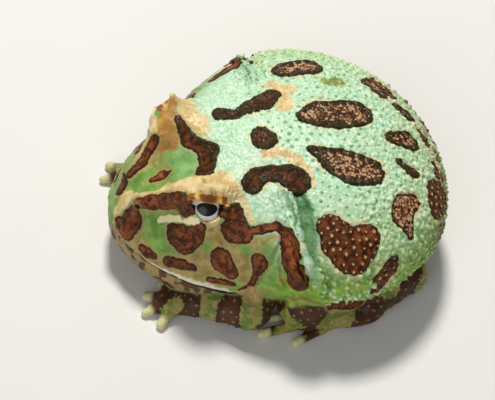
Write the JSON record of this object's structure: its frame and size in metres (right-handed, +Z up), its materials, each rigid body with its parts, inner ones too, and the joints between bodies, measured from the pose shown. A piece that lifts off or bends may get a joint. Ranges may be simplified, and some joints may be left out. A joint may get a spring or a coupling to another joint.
{
  "type": "argentine horned frog",
  "caption": "Sitting horned frog with a wide low body, broad mouth, peaked upper eyelids and folded legs, as a life-size still display model.",
  "frame": {"origin": "on the floor under the front of the belly, on the frog's middle plane", "axes": "+Z up, -Y the way the frog faces, +X the frog's own left"},
  "size_m": [0.0933, 0.1032, 0.0465],
  "materials": {
    "green_skin": "moist, softly shining green skin with fine granules",
    "tan_skin": "moist tan skin of horns, hands and feet",
    "brown_skin": "moist dark brown skin of the banded limbs",
    "pale_skin": "smooth pale skin of the chin and throat",
    "eye_dark": "wet, glossy dark eye"
  },
  "bodies": {
    "root": {"torso": "green_skin", "head": "green_skin", "lower_jaw": "pale_skin", "eye_left": "eye_dark", "horn_left": "tan_skin", "upper_arm_left": "brown_skin", "forearm_left": "green_skin", "hand_left": "tan_skin", "thigh_left": "green_skin", "shank_left": "brown_skin", "foot_left": "tan_skin", "eye_right": "eye_dark", "horn_right": "tan_skin", "upper_arm_right": "brown_skin", "forearm_right": "green_skin", "hand_right": "tan_skin", "thigh_right": "green_skin", "shank_right": "brown_skin", "foot_right": "tan_skin"}
  },
  "joints": []
}
